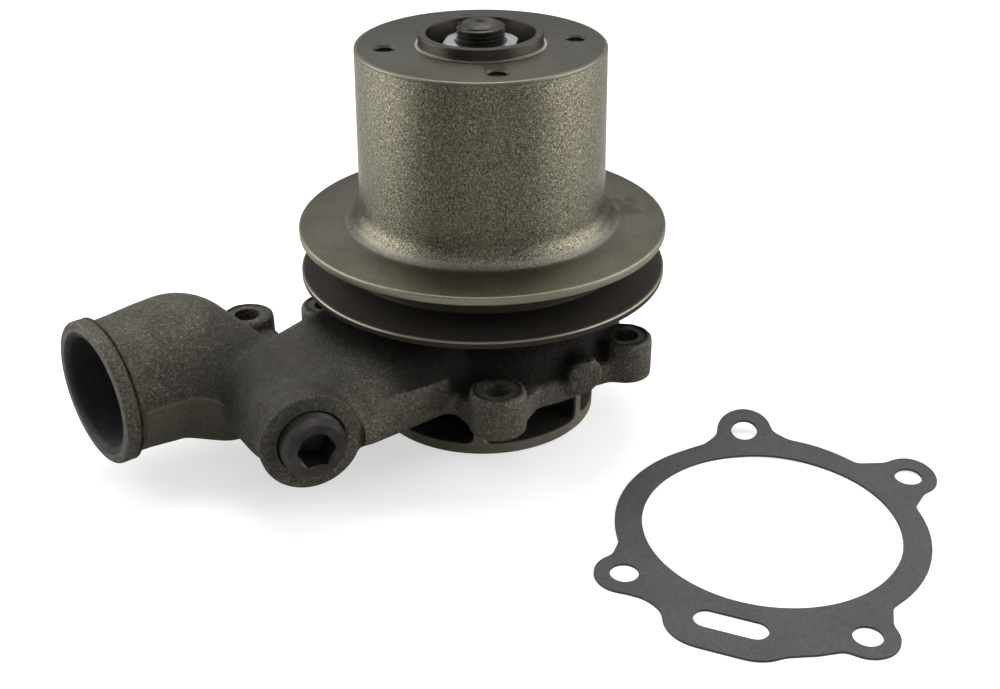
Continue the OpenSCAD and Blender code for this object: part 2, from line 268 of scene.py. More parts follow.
def between(tree, value, low, high, first=0.0, last=1.0):
    """A value that eases from first to last as the input goes from low to high."""
    inputs = {"Value": value, "From Min": low, "From Max": high, "To Min": first, "To Max": last}
    return add_node(tree, "ShaderNodeMapRange", inputs, interpolation_type="SMOOTHSTEP").outputs["Result"]


def blend_colours(tree, factor, first, second):
    """The colour between two, by a factor."""
    node = add_node(tree, "ShaderNodeMix", {0: factor}, data_type="RGBA")
    for socket, colour in ((6, first), (7, second)):
        if isinstance(colour, bpy.types.NodeSocket):
            tree.links.new(colour, node.inputs[socket])
        else:
            node.inputs[socket].default_value = (*colour, 1)
    return node.outputs[2]


def layered(tree, tone, *layers):
    """A tone with others laid over it in turn, each given as where it shows, its strength and its colour."""
    for amount, strength, colour in layers:
        tone = blend_colours(tree, times(tree, amount, strength), tone, colour)
    return tone


def object_place(tree):
    """The point on the piece, in metres."""
    return add_node(tree, "ShaderNodeTexCoord").outputs["Object"]


def noise(tree, place, scale, detail=3.0, rough=0.55, distortion=0.0):
    """Noise between 0 and 1 about the size of 1 / scale metres."""
    return add_node(tree, "ShaderNodeTexNoise", {"Vector": place, "Scale": scale, "Detail": detail,
        "Roughness": rough, "Distortion": distortion}).outputs["Fac"]


def turned_place(tree):
    """Where a point lies on a turned part: its radius and height in millimetres."""
    parts = add_node(tree, "ShaderNodeSeparateXYZ", {0: object_place(tree)})
    across = calculate(tree, "POWER", parts.outputs["X"], 2.0)
    along = calculate(tree, "POWER", parts.outputs["Y"], 2.0)
    distance = calculate(tree, "SQRT", calculate(tree, "ADD", across, along))
    return times(tree, distance, 1 / mm), times(tree, parts.outputs["Z"], 1 / mm)


def distance_to(tree, place, centre):
    """How far a point is from a centre given in millimetres, in metres."""
    from_centre = add_node(tree, "ShaderNodeMapping", {"Vector": place, "Location": -centre * mm})
    reach = add_node(tree, "ShaderNodeVectorMath", {0: from_centre.outputs[0]}, operation="LENGTH")
    return reach.outputs["Value"]


# Fine rings left by the turning tool, about the Z axis
turning_marks, group_in, group_out = new_group("turning_marks", {"Spacing": 0.35}, {"Marks": "Float"})
spread = calculate(turning_marks, "ADD", *turned_place(turning_marks))
ring = calculate(turning_marks, "DIVIDE", spread, group_in.outputs["Spacing"])
marks = add_node(turning_marks, "ShaderNodeTexNoise", {"W": ring, "Scale": 1.0, "Detail": 2.0},
    noise_dimensions="1D")
turning_marks.links.new(marks.outputs["Fac"], group_out.inputs["Marks"])

# Dark pits and bright grains of a grit blasted or sand cast face
grit, group_in, group_out = new_group("grit", {"Grain": 1500.0, "Density": 0.5},
    {"Pits": "Float", "Grains": "Float", "Height": "Float"})
grit_place, density = object_place(grit), group_in.outputs["Density"]
fine = noise(grit, grit_place, 1500, 2, 0.6)
grit.links.new(group_in.outputs["Grain"], fine.node.inputs["Scale"])
coarse_scale = times(grit, group_in.outputs["Grain"], 0.45)
coarse = noise(grit, grit_place, 700, 2, 0.6)
grit.links.new(coarse_scale, coarse.node.inputs["Scale"])
both = calculate(grit, "ADD", times(grit, fine, 0.7), times(grit, coarse, 0.3))
pit_edge = calculate(grit, "ADD", 0.42, times(grit, density, 0.08))
grain_edge = calculate(grit, "SUBTRACT", 0.60, times(grit, density, 0.07))
pits = between(grit, both, pit_edge, 0.38)
grains = between(grit, both, grain_edge, 0.64)
grit.links.new(pits, group_out.inputs["Pits"])
grit.links.new(grains, group_out.inputs["Grains"])
grit.links.new(both, group_out.inputs["Height"])

# Uneven patches of dirt and handling
grime, group_in, group_out = new_group("grime", {"Size": 30.0}, {"Amount": "Float"})
grime_noise = noise(grime, object_place(grime), 30, 5, 0.62, 0.4)
grime.links.new(group_in.outputs["Size"], grime_noise.node.inputs["Scale"])
grime.links.new(between(grime, grime_noise, 0.38, 0.66), group_out.inputs["Amount"])

pulley_iron, tree = new_material("pulley_iron")
place = object_place(tree)
radius, height = turned_place(tree)
specks = add_node(tree, "ShaderNodeGroup", {"Grain": 2500.0, "Density": 1.0}, node_tree=grit).outputs
dirt = add_node(tree, "ShaderNodeGroup", {"Size": 26.0}, node_tree=grime).outputs["Amount"]
marks = add_node(tree, "ShaderNodeGroup", {"Spacing": 0.3}, node_tree=turning_marks).outputs["Marks"]

# Where each part of the pulley starts and ends
hub_side = times(tree, between(tree, height, rim_top + 1, rim_top + 1.4),
    between(tree, height, fan_face - 0.75, fan_face - 1.25),
    between(tree, radius, hub_top_r - 1, hub_top_r - 0.6))
cove = times(tree, hub_side, between(tree, height, rim_top + 3.4, rim_top + 2.2))
# Painted dark in the groove and on the rim's lower lip, partly for the belt's rubber and partly as painted
# shade
groove_rubber_and_shade = times(tree, between(tree, height, rim_top - 0.8, rim_top - 1.6),
    between(tree, height, rim_bottom + 0.7, rim_bottom + 1.5),
    between(tree, radius, rim_r - 0.3, rim_r - 1.1))
groove_rubber_and_shade = calculate(tree, "MAXIMUM", groove_rubber_and_shade, between(tree, height, rim_bottom + 2, rim_bottom + 1.7))
# Painted shade on the rim's underside and inside the hub
painted_underside_shade = between(tree, height, rim_bottom + 0.7, rim_bottom)
inside = times(tree, between(tree, radius, inner_wall_r + 3, inner_wall_r + 2),
    between(tree, height, recess_floor - 1.2, recess_floor - 2.2))
rim_edge = times(tree, between(tree, radius, rim_r - 0.9, rim_r - 0.2),
    between(tree, height, rim_bottom + 1.7, rim_bottom + 2))
face_edge = times(tree, between(tree, height, fan_face - 1.05, fan_face - 0.15),
    between(tree, radius, hub_top_r - 1.4, hub_top_r - 0.4))
spigot = times(tree, between(tree, height, fan_face + 0.25, fan_face + 0.65),
    between(tree, radius, spigot_r + 0.8, spigot_r + 0.3))
spigot = calculate(tree, "MAXIMUM", spigot, between(tree, radius, recess_r + 0.7, recess_r + 0.3))
foot_line = times(tree, between(tree, radius, spigot_r + 1.3, spigot_r + 0.9),
    between(tree, height, fan_face + 0.65, fan_face + 0.35),
    between(tree, radius, spigot_r + 0.1, spigot_r + 0.3))
stain_centre = Vector((stain_reach * cos(stain_bearing), stain_reach * sin(stain_bearing), stain_height))
stain = times(tree, between(tree, distance_to(tree, place, stain_centre), 0.016, 0.004),
    between(tree, height, rim_top + 3.5, rim_top + 2),
    between(tree, noise(tree, place, 160, 4), 0.4, 0.56))

turned_tone = blend_colours(tree, between(tree, marks, 0.3, 0.7),
    (0.112, 0.104, 0.075), (0.146, 0.136, 0.099))
turned_tone = layered(tree, turned_tone,
    (dirt, 0.5, (0.068, 0.062, 0.051)),
    (specks["Pits"], 0.55, (0.03, 0.027, 0.022)),
    (between(tree, height, fan_face - 0.45, fan_face - 0.15), 0.55, (0.03, 0.029, 0.023)))
blasted_tone = blend_colours(tree, specks["Grains"], (0.145, 0.134, 0.098), (0.34, 0.32, 0.25))
blasted_tone = layered(tree, blasted_tone, (specks["Pits"], 0.9, (0.022, 0.020, 0.017)))
tone = layered(tree, blend_colours(tree, hub_side, turned_tone, blasted_tone),
    (cove, 0.4, (0.34, 0.33, 0.28)),
    (rim_edge, 0.4, (0.40, 0.38, 0.31)),
    (face_edge, 0.4, (0.33, 0.32, 0.26)),
    (spigot, 0.85, (0.045, 0.040, 0.036)),
    (groove_rubber_and_shade, 0.9, (0.036, 0.031, 0.028)),
    (foot_line, 0.7, (0.55, 0.52, 0.42)))
# Painted shade: the pulley's underside and its inside are darkened
tone = blend_colours(tree, calculate(tree, "MAXIMUM", painted_underside_shade, inside), tone, (0.07, 0.064, 0.058))
tone = layered(tree, tone, (stain, 0.8, (0.05, 0.042, 0.035)))

roughness = between(tree, hub_side, 0, 1, 0.38, 0.25)
roughness = calculate(tree, "ADD", roughness, times(tree, groove_rubber_and_shade, 0.2))
roughness = calculate(tree, "ADD", roughness, times(tree, dirt, 0.10), True)
relief = times(tree, calculate(tree, "SUBTRACT", specks["Height"], 0.5), hub_side)
for ripple, depth in ((marks, 0.10), (noise(tree, place, 1900, 2), 0.35)):
    relief = calculate(tree, "ADD", relief, times(tree, ripple, between(tree, hub_side, 0, 1, depth, 0.0)))
bump = add_node(tree, "ShaderNodeBump", {"Height": relief, "Strength": 0.6, "Distance": 0.00035})
around = add_node(tree, "ShaderNodeTangent", direction_type="RADIAL", axis="Z")
shade(tree, base_color=tone, metallic=1.0, roughness=roughness, anisotropic=times(tree, hub_side, 0.75),
    anisotropic_rotation=0.25, tangent=around.outputs["Tangent"], normal=bump.outputs["Normal"])

bm = turned([(pulley_bore, 80), (13.4, 80), (13.4, 82.4), (17, 82.4), (17, 93), (22, 97), (inner_wall_r, 97),
    (inner_wall_r, rim_bottom), (rim_r, rim_bottom), (rim_r, rim_bottom + 2.3), (groove_r, 38),
    (groove_r, 43.8), (rim_r, rim_top - 2.8), (rim_r, rim_top)]
    + arc((hub_foot_r + foot_round, rim_top + 0.9 + foot_round), foot_round, 270, 180, 9)
    + [(hub_top_r, fan_face), (spigot_r, fan_face), (spigot_r, spigot_top), (recess_r, spigot_top),
    (recess_r, recess_floor), (pulley_bore, recess_floor)], 160)
soften(bm, 0.5, 3)
pulley = make_piece("turned_pulley", bm, pulley_iron)

tapped_iron, tree = new_material("tapped_iron")
tap_dirt = noise(tree, object_place(tree), 900)
tap_tone = blend_colours(tree, tap_dirt, (0.035, 0.03, 0.025), (0.10, 0.092, 0.075))
shade(tree, base_color=tap_tone, metallic=0.8, roughness=0.5)
taps = []
for hole in range(4):
    tap_bm = turned([(0, 99)] + threaded_outline(fan_hole_r - 0.5, fan_hole_r, 1.25, 99, 110.2)
        + [(fan_hole_r - 0.3, 110.7), (fan_hole_r + 0.5, fan_face + 0.2), (0, fan_face + 0.2)], 32)
    tap_place = Matrix.Rotation(radians(first_fan_hole + 90 * hole), 4, "Z") @ Matrix.Translation(
        (fan_circle_r, 0, 0))
    taps.append(make_piece("tap", placed(tap_bm, tap_place), tapped_iron))
key_slot = bmesh.new()
bmesh.ops.create_cube(key_slot, size=1,
    matrix=Matrix.Translation((9.7, 0, 91)) @ Matrix.Diagonal((4.4, 4.84, 30, 1)))
taps.append(make_piece("key_slot", key_slot, tapped_iron))
machine(pulley, taps)
smooth_faces(pulley)
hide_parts("pulley")
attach(pulley, "rotor")

# ---- Spindle and its nut ----
# Steel shaft, ground on its bearing seats, with a fine thread that stands above a bright zinc plated nut.
# Its domed end keeps the lathe's centre hole.

thread_r, thread_root, thread_pitch = 7.94, 7.05, 1.42
thread_low, spindle_top = 102.9, 119
thread_turns, steps_a_turn = 10.4, 60
nut_across, nut_low, nut_high = 23.8, 102.9, 112.5


def metal(name, light, dark, roughness, bump_depth=0.0002, grain=900, metallic=1.0):
    """A metal finish with small patches between two tones, uneven roughness and a fine surface."""
    material, tree = new_material(name)
    place = object_place(tree)
    patches = between(tree, noise(tree, place, grain * 0.12, 5, 0.6), 0.35, 0.68)
    fine = noise(tree, place, grain, 3)
    tone = blend_colours(tree, patches, light, dark)
    rough = calculate(tree, "ADD", between(tree, patches, 0, 1, roughness - 0.05, roughness + 0.07),
        times(tree, fine, 0.08))
    bump = add_node(tree, "ShaderNodeBump", {"Height": fine, "Strength": 0.4, "Distance": bump_depth})
    shade(tree, base_color=tone, metallic=metallic, roughness=rough, normal=bump.outputs["Normal"])
    return material


spindle_steel = metal("spindle_steel", (0.062, 0.060, 0.048), (0.034, 0.032, 0.027), 0.46)
bm = turned([(0, -21.5), (6.94, -21.5), (thread_r, -20.5), (thread_r, 26), (8.6, 27), (8.6, 33), (12.2, 34),
    (12.2, 38), (10, 38), (10, 79.6), (9.525, 80), (9.525, 100.2), (thread_root, 100.9),
    (thread_root, spindle_top - 1.2), (5.6, spindle_top - 0.4), (2.2, spindle_top), (1.4, spindle_top - 0.9),
    (0, spindle_top - 2)], 96)
soften(bm, 0.15, 2, 40)
spindle = make_piece("spindle_shaft", bm, spindle_steel)
ridge = bmesh.new()
tooth = [(thread_root - 0.4, -0.48), (thread_r, -0.09), (thread_r, 0.09), (thread_root - 0.4, 0.48)]
corners = [ridge.verts.new((r, 0, thread_low + 0.4 + z * thread_pitch)) for r, z in tooth]
loop = [ridge.edges.new(pair) for pair in zip(corners, corners[1:] + corners[:1])]
bmesh.ops.spin(ridge, geom=corners + loop, cent=(0, 0, 0), axis=(0, 0, 1), angle=tau * thread_turns,
    dvec=(0, 0, thread_pitch / steps_a_turn), steps=round(steps_a_turn * thread_turns), use_merge=False)
bmesh.ops.holes_fill(ridge, edges=ridge.edges, sides=4)
bmesh.ops.recalc_face_normals(ridge, faces=ridge.faces)
machine(spindle, [make_piece("thread_ridge", ridge, spindle_steel)], "UNION")
envelope = turned([(0, -22), (13, -22), (13, spindle_top - 7), (thread_r, spindle_top - 6.9),
    (thread_r, spindle_top - 1.6), (5.9, spindle_top + 0.01), (0, spindle_top + 0.01)], 96)
machine(spindle, [make_piece("turned_envelope", envelope, spindle_steel)], "INTERSECT")
smooth_faces(spindle, 28)
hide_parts("spindle")
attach(spindle, "rotor")

nut_zinc = metal("nut_zinc", (0.44, 0.45, 0.455), (0.32, 0.325, 0.33), 0.27, 0.0001)
bm = bmesh.new()
nut_corner_r = nut_across / 2 / cos(pi / 6)
nut_place = Matrix.Translation((0, 0, (nut_low + nut_high) / 2)) @ Matrix.Rotation(radians(12), 4, "Z")
bmesh.ops.create_cone(bm, cap_ends=True, segments=6, radius1=nut_corner_r, radius2=nut_corner_r,
    depth=nut_high - nut_low, matrix=nut_place)
soften(bm, 0.25, 2)
nut = make_piece("spindle_nut", bm, nut_zinc)
chamfers = turned([(0, nut_low), (12.3, nut_low), (14, nut_low + 1), (14, nut_high - 1.1), (12.1, nut_high),
    (0, nut_high)], 96)
machine(nut, [make_piece("nut_chamfers", chamfers, nut_zinc)], "INTERSECT")
nut_bore = turned([(0, nut_low - 1), (thread_r + 0.9, nut_low - 0.1), (thread_r + 0.05, nut_low + 0.8),
    (thread_r + 0.05, nut_high - 0.8), (thread_r + 0.9, nut_high + 0.1), (0, nut_high + 1)], 96)
machine(nut, [make_piece("nut_bore", nut_bore, nut_zinc)])
smooth_faces(nut, 28)
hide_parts("pulley_nut")
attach(nut, "rotor")

# ---- Pump body ----
# One sand casting of grey iron: mounting flange with four bolt lugs, chamber roof, bearing housing, a flat
# water passage, the hose neck with its elbow, and the plug's boss. Only its faces and bores are machined.

flange_r, flange_t = 50, 7.5
lug_r, lug_h, bolt_hole_r = 9.5, 14.5, 4.5
lugs = [(58, -124.3), (53.5, -62), (54.5, 53.5), (57, 136.5)]
slot_circle_r, slot_angle, slot_length, slot_width = 52.3, 95, 22.5, 8
side_lug = Vector((-67.8, 50.6, 0))
nose_r, nose_top = 30, 85
chamber_r = 42.1
mouth_x, bead_r, neck_bore_r = 133.5, 24.5, 19
elbow = Vector((-103, 37.3, 11.8))
boss_centre, boss_r, boss_turn, plug_bore_r = Vector((-90.2, -25.5, 6)), 16.5, -106, 10.72
grain_size = 1.15
face_stock = 1.6
leg_knee = elbow + Vector((18, -16, -5.8))
crease_shade_centre = Vector((-88, -4, 20))
seam_height, seam_bend, seam_fall = 12.2, -112, 0.036


def polar(point, height=0.0):
    """The point at a radius and an angle in degrees."""
    return Vector((point[0] * cos(radians(point[1])), point[0] * sin(radians(point[1])), height))


def add_solid(bm, solid, place=Matrix()):
    """Adds one closed solid to a mesh of overlapping solids."""
    solid.transform(place)
    mesh = bpy.data.meshes.new("solid")
    solid.to_mesh(mesh)
    solid.free()
    bm.from_mesh(mesh)
    bpy.data.meshes.remove(mesh)


def post(radius, low, high, segments=64):
    """An upright cylinder."""
    bm = bmesh.new()
    bmesh.ops.create_cone(bm, cap_ends=True, segments=segments, radius1=radius, radius2=radius,
        depth=high - low, matrix=Matrix.Translation((0, 0, (low + high) / 2)))
    return bm


def block(low, high):
    """A box between two corners."""
    bm = bmesh.new()
    size = Vector(high) - Vector(low)
    bmesh.ops.create_cube(bm, size=1, matrix=Matrix.Translation((Vector(low) + Vector(high)) / 2)
        @ Matrix.Diagonal((*size, 1)))
    return bm


def plate(outline, low, high):
    """A flat outline of (x, y) points, given a thickness."""
    bm = bmesh.new()
    face = bm.faces.new([bm.verts.new((x, y, low)) for x, y in outline])
    raised = bmesh.ops.extrude_face_region(bm, geom=[face])
    bmesh.ops.translate(bm, verts=[v for v in raised["geom"] if isinstance(v, bmesh.types.BMVert)],
        vec=(0, 0, high - low))
    bmesh.ops.recalc_face_normals(bm, faces=bm.faces)
    return bm


def hull_round(balls, boxes=()):
    """The tight skin over some balls (centre, radius) and boxes (low, high)."""
    bm = bmesh.new()
    for centre, size in balls:
        bmesh.ops.create_icosphere(bm, subdivisions=4, radius=size, matrix=Matrix.Translation(centre))
    for low, high in boxes:
        add_solid(bm, block(low, high))
    bmesh.ops.delete(bm, geom=bm.edges[:] + bm.faces[:], context="EDGES_FACES")
    bmesh.ops.convex_hull(bm, input=bm.verts)
    bmesh.ops.delete(bm, geom=[v for v in bm.verts if not v.link_faces], context="VERTS")
    bmesh.ops.recalc_face_normals(bm, faces=bm.faces)
    return bm


def slot_shape(radius, low, high, segments=48):
    """A round-ended bar along the by-pass slot."""
    half = (slot_length - slot_width) / 2
    rounds = arc((0, half), radius, 0, 180, segments // 2) + arc((0, -half), radius, 180, 360, segments // 2)
    bm = plate(rounds, low, high)
    bm.transform(Matrix.Rotation(radians(slot_angle), 4, "Z") @ Matrix.Translation((slot_circle_r, 0, 0)))
    return bm


def add_face_outline(bm, low, high):
    """The outline shared by the mounting face and its gasket: ring, lugs, webs and by-pass pad."""
    add_solid(bm, post(flange_r, low, high, 128))
    for reach, angle in lugs:
        add_solid(bm, post(lug_r, low, high), Matrix.Translation(polar((reach, angle))))
        web = [(flange_r - 12, -16), (flange_r - 1.5, -14), (reach - 1, -lug_r * 0.97),
            (reach - 1, lug_r * 0.97), (flange_r - 1.5, 14), (flange_r - 12, 16)]
        add_solid(bm, plate(web, low, high), Matrix.Rotation(radians(angle), 4, "Z"))
    add_solid(bm, slot_shape(slot_width / 2 + 9, low, high))
    (first_r, first), (last_r, last) = lugs[2], lugs[3]
    last_web = [(40, slot_angle), (slot_circle_r + 11.5, slot_angle + 2),
        (slot_circle_r + 10.5, slot_angle + 16), (slot_circle_r + 9.5, slot_angle + 25),
        (last_r + 4, last - 8), (40, last)]
    first_web = [(40, first), (first_r + 7.5, first + 5), (first_r + 2.5, first + 13),
        (first_r + 2.5, first + 18), (slot_circle_r + 9, slot_angle - 14), (40, slot_angle)]
    for corners in (last_web, first_web):
        add_solid(bm, plate([polar(corner).xy for corner in corners], low, high))


def cast(piece, grain, rounding):
    """Runs overlapping solids together into one skin and rounds it as a sand mould does."""
    skin = piece.modifiers.new("one_skin", "REMESH")
    skin.mode = "VOXEL"
    skin.voxel_size = grain * mm
    rounded = piece.modifiers.new("rounded", "SMOOTH")
    rounded.factor = 0.5
    rounded.iterations = rounding
    settle(piece)


cast_iron, tree = new_material("cast_iron")
place = object_place(tree)
radius, height = turned_place(tree)
sand = add_node(tree, "ShaderNodeGroup", {"Grain": 1500.0, "Density": 0.9}, node_tree=grit).outputs
dirt = add_node(tree, "ShaderNodeGroup", {"Size": 22.0}, node_tree=grime).outputs["Amount"]
lumps = noise(tree, place, 260, 3)

# Painted shadow: the chamber roof and the lug tops under the pulley are darkened, with less metal and
# specular sheen, for the pulley's shadow; painted shade also darkens the crease beside the plug's leg
painted_pulley_shadow = times(tree, between(tree, radius, flange_r + 4, flange_r + 0.5),
    between(tree, height, flange_t - 2, flange_t + 1.5))
painted_shadow_on_lug_tops = times(tree, between(tree, radius, 74, 60), between(tree, height, lug_h - 0.7, lug_h - 0.1))
painted_pulley_shadow = calculate(tree, "MAXIMUM", painted_pulley_shadow, painted_shadow_on_lug_tops)
# Painted shade darkens the crease beside the plug's leg
painted_crease_shade = between(tree, distance_to(tree, place, crease_shade_centre), 0.036, 0.014)
rust = between(tree, noise(tree, place, 34, 5, 0.65), 0.60, 0.74)

# The mould's seam along the neck falls away past the bend, and the side under it is a little paler
spot = add_node(tree, "ShaderNodeSeparateXYZ", {0: place}).outputs
along_x, along_y = times(tree, spot["X"], 1 / mm), times(tree, spot["Y"], 1 / mm)
past_bend = calculate(tree, "MAXIMUM", calculate(tree, "SUBTRACT", along_x, seam_bend), 0)
seam_drop = times(tree, calculate(tree, "POWER", past_bend, 2), seam_fall)
over_seam = calculate(tree, "SUBTRACT", height, calculate(tree, "SUBTRACT", seam_height, seam_drop))
front_side = times(tree, between(tree, along_y, 34, 30), between(tree, along_x, -90, -95),
    between(tree, along_x, -126.2, -125.8), between(tree, along_y, 4, 10))
dressed = times(tree, front_side, between(tree, over_seam, 0.4, -0.4))
seam_line = times(tree, front_side, between(tree, calculate(tree, "ABSOLUTE", over_seam), 0.7, 0.1))

tone = blend_colours(tree, between(tree, lumps, 0.35, 0.65), (0.080, 0.073, 0.053), (0.060, 0.054, 0.040))
tone = layered(tree, tone,
    (dirt, 0.6, (0.043, 0.038, 0.030)),
    (sand["Grains"], 0.55, (0.21, 0.20, 0.155)),
    (sand["Pits"], 0.7, (0.012, 0.011, 0.010)),
    # painted shadow of the pulley on the chamber roof and the lug tops
    (painted_pulley_shadow, 0.88, (0.008, 0.007, 0.007)),
    (painted_crease_shade, 0.65, (0.018, 0.016, 0.014)),
    (rust, 0.35, (0.13, 0.075, 0.045)),
    (dressed, 0.45, (0.105, 0.098, 0.074)),
    (seam_line, 0.5, (0.19, 0.18, 0.145)))
relief = calculate(tree, "ADD", sand["Height"], times(tree, lumps, 0.9))
relief = times(tree, relief, between(tree, dressed, 0, 1, 1, 0.4))
bump = add_node(tree, "ShaderNodeBump", {"Height": relief, "Strength": 0.8, "Distance": 0.0008})
# Painted shadow also takes metal and specular sheen off the roof and lug tops under the pulley
shade(tree, base_color=tone, metallic=between(tree, painted_pulley_shadow, 0, 1, 0.45, 0.1),
    roughness=between(tree, dirt, 0, 1, 0.52, 0.66), normal=bump.outputs["Normal"],
    specular_ior_level=between(tree, painted_pulley_shadow, 0, 1, 0.5, 0.05))
machined_iron = metal("machined_iron", (0.105, 0.102, 0.076), (0.055, 0.053, 0.041), 0.42, 0.0002, 1200, 0.8)
# The cored inside faces are painted very dark, as painted shade inside the bores and passages
bore_shade_iron = metal("bore_shade_iron", (0.022, 0.018, 0.018), (0.012, 0.010, 0.011), 0.75, 0.0008, 500, 0.2)

bm = bmesh.new()
add_face_outline(bm, -face_stock, flange_t)
for lug in lugs:
    add_solid(bm, post(lug_r, -face_stock, lug_h), Matrix.Translation(polar(lug)))
add_solid(bm, slot_shape(slot_width / 2 + 4.5, 0, 13))
add_solid(bm, turned([(0, 0), (flange_r - 2, 0), (flange_r - 2.5, flange_t + 2), (44, 17), (36, 23.5),
    (nose_r + 1.5, 28), (nose_r, 34), (nose_r, nose_top + face_stock), (0, nose_top + face_stock)], 96))
add_solid(bm, post(6.9, 0, 10), Matrix.Translation((0.7, -53.7, 8.6)) @ Matrix.Rotation(radians(-17), 4, "Z")
    @ Matrix.Rotation(radians(90), 4, "X") @ Matrix.Translation((0, 0, -10)))
add_solid(bm, hull_round([((-38, -19, 13.7), 13.2), ((-38, 17, 13.7), 13.2), ((-80, -13, 10.7), 12.5),
    ((-80, 10, 10.7), 12.5)], [((-73, -32.5, 0.6), (-36, 23.5, 4.6))]))
along_neck = Matrix.Translation((-mouth_x, elbow.y, elbow.z)) @ Matrix.Rotation(radians(90), 4, "Y")
neck_length = mouth_x + elbow.x
add_solid(bm, turned([(0, -face_stock), (22.7, -face_stock), (22.9, 11), (24, 22), (24.4, neck_length),
    (0, neck_length)], 96), along_neck)
add_solid(bm, hull_round([(elbow, 24.5)]))
add_solid(bm, hull_round([(elbow, 24.3), (elbow + Vector((12, -10.3, -11.3)), 16.2),
    (leg_knee, 15.5)]))
add_solid(bm, hull_round([(leg_knee, 15.5), (boss_centre + Vector((3, 18, 0)), 16.5)]))
along_boss = (Matrix.Translation(boss_centre) @ Matrix.Rotation(radians(boss_turn + 90), 4, "Z")
    @ Matrix.Rotation(radians(90), 4, "X"))
add_solid(bm, post(boss_r, -18, face_stock), along_boss)
add_solid(bm, hull_round([(along_boss @ Vector((0, 0, -20)), boss_r + 1)]))
add_solid(bm, post(lug_r, -face_stock, lug_h), Matrix.Translation(side_lug))
add_solid(bm, block(side_lug + Vector((-26, -8, 1)), side_lug + Vector((0, 6, 10))))
add_solid(bm, block(side_lug + Vector((-8, -26, 1)), side_lug + Vector((6, 0, 10))))
body = make_piece("cast_body", bm, cast_iron)
cast(body, grain=grain_size, rounding=12)

cuts = [
    block((-62, -75, -20), (80, 75, 0)),
    block(side_lug + Vector((-10.7, -10.6, -20)), side_lug + Vector((12, 14, 0))),
    turned([(0, nose_top), (40, nose_top), (40, nose_top + 5), (0, nose_top + 5)], 96),
    placed(turned([(0, -6), (40, -6), (40, 0), (0, 0)], 96), along_neck),
    placed(turned([(0, 0), (boss_r + 0.8, 0), (boss_r + 0.8, 6), (0, 6)], 96), along_boss),
    turned([(0, -1), (chamber_r, -1), (chamber_r, 9), (38, 14.5), (32, 19), (24, 20), (24, 8), (18.2, 8),
        (18.2, 22), (10.5, 22), (10.5, 25), (17, 25), (17, 34.5), (23.5, 34.5), (23.5, 80), (25, 80),
        (25, 82), (23.5, 82), (23.5, nose_top - 1), (24.5, nose_top + 1), (0, nose_top + 1)], 128),
    slot_shape(slot_width / 2, -1, 8),
    placed(block((36, -4, 3), (51, 4, 7)), Matrix.Rotation(radians(slot_angle), 4, "Z")),
    placed(post(2.5, 0, nose_r + 8, 24),
        Matrix.Translation((0, 0, 29.5)) @ Matrix.Rotation(radians(90), 4, "X")),
    placed(turned([(0, -17), (plug_bore_r, -17), (plug_bore_r, -0.8), (plug_bore_r + 0.9, 0.1),
        (0, 0.1)], 64), along_boss),
]
lug_cuts = []
for centre in [polar(lug) for lug in lugs] + [side_lug]:
    hole = turned([(0, -1), (bolt_hole_r, -1), (bolt_hole_r, lug_h - 0.6), (lug_r - 2.2, lug_h - 0.6),
        (lug_r - 2.2, lug_h + 2), (0, lug_h + 2)], 48)
    lug_cuts.append(make_piece("lug_hole", placed(hole, Matrix.Translation(centre)), cast_iron))
machine(body, [make_piece(f"cutter_{i}", solid, machined_iron) for i, solid in enumerate(cuts)] + lug_cuts)

bead = turned([(neck_bore_r + 2, 0)] + arc((bead_r - 1.2, 1.2), 1.2, 270, 360, 6)
    + arc((bead_r - 1.2, 3.8), 1.2, 0, 80, 6) + arc((bead_r + 0.4, 7.2), 2, 260, 180, 6)
    + [(neck_bore_r + 2, 7.4)], 128)
boss_ring = turned([(plug_bore_r + 1, -4), (boss_r - 0.5, -4), (boss_r + 0.15, -2.6)]
    + arc((boss_r - 0.65, -0.68), 0.8, 0, 90, 5) + [(plug_bore_r + 1.15, 0.12)], 128)
machine(body, [make_piece("mouth_bead", placed(bead, along_neck), cast_iron),
    make_piece("boss_ring", placed(boss_ring, along_boss), cast_iron)], "UNION")

mouth_round = 2.2
bore = turned([(0, -1), (neck_bore_r + mouth_round, -1)]
    + arc((neck_bore_r + mouth_round, mouth_round), mouth_round, 270, 180, 7)
    + [(neck_bore_r, neck_length), (0, neck_length)], 96)
cores = [placed(bore, along_neck), hull_round([(elbow, neck_bore_r)]),
    hull_round([(elbow, 13), (leg_knee, 10.5)]),
    hull_round([(leg_knee, 10.5), (boss_centre + Vector((4, 20, 0)), 11.5)]),
    hull_round([((-38, -19, 13.2), 8.7), ((-38, 17, 13.2), 8.7), ((-82, -13, 10.7), 8.3),
        ((-82, 10, 10.7), 8.3)])]
machine(body, [make_piece(f"core_{i}", solid, bore_shade_iron) for i, solid in enumerate(cores)])
smooth_faces(body, 40)
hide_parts("pump_body")
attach(body, "housing")

# ---- Pipe plug ----
# Tapered steel plug screwed into the boss, with a hexagon socket. It stands a few threads out of the boss.

